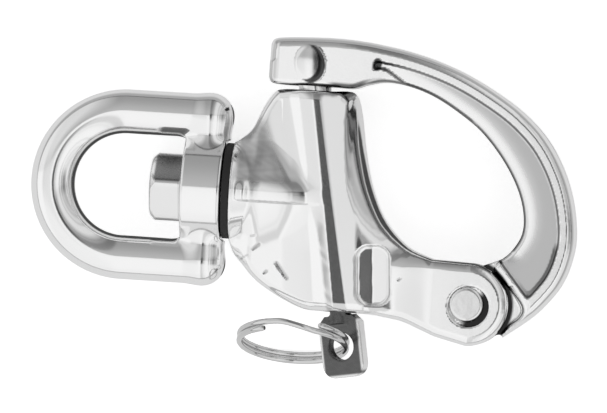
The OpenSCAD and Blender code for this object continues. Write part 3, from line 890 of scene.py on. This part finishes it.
def steel(name, colour, roughness, wave, wave_size):
    """Polished steel: slow waves, a fine grain, dull cast hollows and painted shade in corners and gaps."""
    material, nodes, links = new_material(name)
    shader = nodes["Principled BSDF"]
    shader.inputs["Metallic"].default_value = 1
    place = nodes.new("ShaderNodeTexCoord").outputs["Object"]
    # Painted shade: where the shades ask for it, the colour goes towards near black
    # A colour mix has its two colours in the sockets 6 and 7, and its result in 2
    painted_shade = nodes.new("ShaderNodeMix")
    painted_shade.data_type = "RGBA"
    painted_shade.inputs[6].default_value = (colour, colour, colour, 1)
    painted_shade.inputs[7].default_value = PAINTED_SHADE_COLOUR
    links.new(shade_of(nodes, "painted_shade"), painted_shade.inputs[0])
    links.new(painted_shade.outputs[2], shader.inputs["Base Color"])
    grain = noise(nodes, links, place, GRAIN_SIZE, GRAIN_DETAIL)
    grain = mapped(nodes, links, grain, 0.3, 0.7, roughness * 0.92, roughness * 1.1)
    dull = mapped(nodes, links, shade_of(nodes, "dull"), 0, 1, 0, DULL_ROUGHNESS)
    links.new(combined(nodes, links, "ADD", grain, dull), shader.inputs["Roughness"])
    waves = bumped(nodes, links, noise(nodes, links, place, wave_size), wave)
    links.new(waves, shader.inputs["Normal"])
    return material


def black_plastic():
    material, nodes, links = new_material("washer_black")
    shader = nodes["Principled BSDF"]
    shader.inputs["Base Color"].default_value = PLASTIC
    place = nodes.new("ShaderNodeTexCoord").outputs["Object"]
    rough = nodes.new("ShaderNodeMapRange")
    rough.inputs["To Min"].default_value = PLASTIC_ROUGHNESS[0]
    rough.inputs["To Max"].default_value = PLASTIC_ROUGHNESS[1]
    links.new(noise(nodes, links, place, PLASTIC_GRAIN_SIZE), rough.inputs["Value"])
    links.new(rough.outputs["Result"], shader.inputs["Roughness"])
    return material


# Studio

TABLE_HALF = 2.0
TABLE_WHITE = 0.9
# How bright the metal shows the table, near the hook, far from it and within the loops, where discs of
# painted shade lie
TABLE_NEAR = 0.48
TABLE_FAR = 0.3
SHADE_DISC_LEVEL = 0.06
# Discs of painted shade on the table, seen only in the metal's mirror images: centre and radius
SHADE_DISCS = [((58, 5), 12), ((2, 0), 7.5), ((20, 13), 3.5), ((19.5, -13), 3)]
FADE_UP = (26, 50)
FADE_RIGHT = (85, 120)
FLOOR_LIFT = 0.6
GLOSSY_SHARE = 0.75

# Brightness of the studio by direction: it is the product of these, each as (part of the direction, level)
ACROSS = [
    (-1, 1.0), (-0.84, 1.0), (-0.74, 0.78), (-0.2, 0.85), (-0.12, 1.0), (-0.035, 1.0),
    (0.0, 0.08), (0.13, 0.08), (0.16, 0.6), (0.2, 0.8), (0.23, 0.45), (0.27, 0.8),
    (0.4, 0.95), (0.56, 1.0), (0.59, 0.5), (0.62, 0.5), (0.65, 0.9), (0.71, 0.8),
    (0.75, 0.35), (0.8, 0.65), (0.86, 0.3), (0.92, 0.3), (0.95, 0.55), (1, 0.3),
]
UPWARD = [
    (-1, 0.95), (-0.8, 1.0), (0.0, 1.0), (0.07, 0.95), (0.09, 0.36), (0.11, 0.5),
    (0.17, 0.52), (0.5, 0.46), (0.75, 0.4), (0.95, 0.35), (1, 0.35),
]
HORIZON = [(-1, 1.0), (-0.02, 1.0), (0.0, 0.4), (0.05, 0.4), (0.1, 1.0), (1, 1.0)]
# How strongly the first holds by the upward part, and the second by the part across
ACROSS_HOLD = [(-1, 0.3), (-0.22, 0.3), (-0.04, 1), (0.12, 1), (0.24, 0.5), (1, 0.5)]
UPWARD_HOLD = [(-1, 0.25), (-0.5, 0.3), (-0.2, 1), (0.22, 1), (0.4, 0.35), (1, 0.5)]
TENT_GAIN = 1.2


def table_grey(nodes, links, place, level):
    """How bright the metal shows each place of the table, with discs of painted shade within the loops."""
    parts = nodes.new("ShaderNodeSeparateXYZ")
    links.new(place, parts.inputs["Vector"])
    fades = []
    for part, edges in (("Y", FADE_UP), ("X", FADE_RIGHT)):
        low, high = (edge * MM for edge in edges)
        fades.append(mapped(nodes, links, parts.outputs[part], low, high, TABLE_NEAR, TABLE_FAR))
    grey = combined(nodes, links, "MINIMUM", *fades)
    for centre, radius in SHADE_DISCS:
        away = nodes.new("ShaderNodeVectorMath")
        away.operation = "DISTANCE"
        away.inputs[1].default_value = (centre[0] * MM, centre[1] * MM, level)
        links.new(place, away.inputs[0])
        reach = (0.8 * radius * MM, radius * MM)
        loop = mapped(nodes, links, away.outputs["Value"], *reach, SHADE_DISC_LEVEL, TABLE_NEAR)
        grey = combined(nodes, links, "MINIMUM", grey, loop)
    return grey


def floor_white(level):
    """The table's material: plain white to the camera, and greyer in mirror images."""
    material, nodes, links = new_material("floor_white")
    nodes.clear()
    path = nodes.new("ShaderNodeLightPath")
    glossy = path.outputs["Is Glossy Ray"]
    grey = table_grey(nodes, links, nodes.new("ShaderNodeTexCoord").outputs["Object"], level)
    shown = mixed(nodes, links, glossy, FLOOR_LIFT, grey)
    seen = combined(nodes, links, "MAXIMUM", path.outputs["Is Camera Ray"], glossy)
    glow = nodes.new("ShaderNodeEmission")
    links.new(combined(nodes, links, "MULTIPLY", seen, shown), glow.inputs["Strength"])
    dimmed = mapped(nodes, links, grey, 0, 1, 0, GLOSSY_SHARE)
    matt = nodes.new("ShaderNodeBsdfDiffuse")
    links.new(mixed(nodes, links, glossy, TABLE_WHITE, dimmed), matt.inputs["Color"])
    both = nodes.new("ShaderNodeAddShader")
    links.new(glow.outputs[0], both.inputs[0])
    links.new(matt.outputs[0], both.inputs[1])
    out = nodes.new("ShaderNodeOutputMaterial")
    links.new(both.outputs[0], out.inputs["Surface"])
    return material


def floor():
    """White table; towards its far edges, and in painted shade within the hook's loops, the metal shows it
    greyer.
    """
    level = CAD_BOX[0][2]
    corners = [(x * TABLE_HALF, y * TABLE_HALF, level) for x, y in ((-1, -1), (1, -1), (1, 1), (-1, 1))]
    mesh = bpy.data.meshes.new("floor")
    mesh.from_pydata(corners, [], [(0, 1, 2, 3)])
    obj = linked("floor", mesh)
    mesh.materials.append(floor_white(level))


def level_by(nodes, links, source, stops):
    """Brightness by one part of a direction, from -1 to 1."""
    place = nodes.new("ShaderNodeMapRange")
    place.inputs["From Min"].default_value = -1
    links.new(source, place.inputs["Value"])
    scale = nodes.new("ShaderNodeValToRGB")
    steps = scale.color_ramp.elements
    steps[0].color = (stops[0][1],) * 3 + (1,)
    steps[1].color = (stops[-1][1],) * 3 + (1,)
    for at, level in stops[1:-1]:
        steps.new((at + 1) / 2).color = (level, level, level, 1)
    links.new(place.outputs["Result"], scale.inputs["Fac"])
    return scale.outputs["Color"]


def tent():
    """World light: a pale tent with a dark slit beside the camera and greyer cloth towards the top."""
    world = bpy.data.worlds.new("tent")
    bpy.context.scene.world = world
    world.use_nodes = True
    nodes, links = world.node_tree.nodes, world.node_tree.links
    nodes.clear()
    parts = nodes.new("ShaderNodeSeparateXYZ")
    links.new(nodes.new("ShaderNodeTexCoord").outputs["Generated"], parts.inputs["Vector"])
    x, y, z = (parts.outputs[name] for name in "XYZ")
    across = level_by(nodes, links, x, ACROSS)
    upward = level_by(nodes, links, y, UPWARD)
    across = mixed(nodes, links, level_by(nodes, links, y, ACROSS_HOLD), 1, across)
    upward = mixed(nodes, links, level_by(nodes, links, x, UPWARD_HOLD), 1, upward)
    level = combined(nodes, links, "MULTIPLY", across, upward)
    level = combined(nodes, links, "MULTIPLY", level, level_by(nodes, links, z, HORIZON))
    gain = nodes.new("ShaderNodeMath")
    gain.operation = "MULTIPLY"
    gain.inputs[1].default_value = TENT_GAIN
    links.new(level, gain.inputs[0])
    path = nodes.new("ShaderNodeLightPath")
    level = combined(nodes, links, "MAXIMUM", gain.outputs[0], path.outputs["Is Camera Ray"])
    back = nodes.new("ShaderNodeBackground")
    links.new(level, back.inputs["Strength"])
    out = nodes.new("ShaderNodeOutputWorld")
    links.new(back.outputs[0], out.inputs["Surface"])


# The photograph's middle is this point of the hook's plane, and its width spans this much of it
PHOTO_MIDDLE = Vector((28.5, -1.75, 0)) * MM
PHOTO_WIDTH = 96.35 * MM
PHOTO_TURN = math.radians(3.6)
CAMERA_LEAN = math.radians(4)
CAMERA_DISTANCE = 1.2
SENSOR_W = 36


def camera():
    data = bpy.data.cameras.new("camera")
    data.sensor_width = SENSOR_W
    data.lens = SENSOR_W * CAMERA_DISTANCE / PHOTO_WIDTH
    data.clip_start = 0.01
    obj = linked("camera", data)
    back = Vector((math.sin(CAMERA_LEAN), 0, math.cos(CAMERA_LEAN)))
    right = Vector((math.cos(PHOTO_TURN), math.sin(PHOTO_TURN), 0))
    right = (right - back * right.dot(back)).normalized()
    up = back.cross(right)
    turn = Matrix((right, up, back)).transposed().to_4x4()
    obj.matrix_world = Matrix.Translation(PHOTO_MIDDLE + back * CAMERA_DISTANCE) @ turn
    bpy.context.scene.camera = obj


# Making

bpy.context.scene.view_settings.view_transform = "Standard"
camera()
floor()
tent()

# Colour, roughness, then the height of the slow waves and their size in millimetres
CAST = steel("cast_steel", 0.94, 0.11, 0.006, 3.5)
TURNED = steel("turned_steel", 0.86, 0.13, 0.01, 2.0)
WIRE = steel("wire_steel", 0.7, 0.07, 0.004, 2.0)
WASHER = black_plastic()

# Each piece's field, its CAD node, its body, the size of its mesh's cells, its material and its shades
cast_piece("body_casting", body_field, "body", "hook_body", 0.24, CAST, body_shades)
cast_piece("gate_casting", gate_field, "gate", "hook_gate", 0.2, CAST, gate_shades)
cast_piece("eye_casting", eye_field, "eye", "swivel_eye", 0.24, CAST)
cast_piece("bolt", bolt_field, "swivel_bolt", "hook_body", 0.15, TURNED, bolt_shades)
cast_piece("rivet", pin_field, "hinge_pin", "hook_body", 0.12, TURNED)
cast_piece("latch_pin", plunger_field, "plunger", "latch", 0.15, TURNED, plunger_shades)
cast_piece("washer", washer_field, "swivel_washer", "hook_body", 0.2, WASHER)
dress(ring_coil(), WIRE, "split_ring", "pull_ring")
spring = spring_wire()
dress(spring, WIRE, "plunger_spring", "latch_turn")
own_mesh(spring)
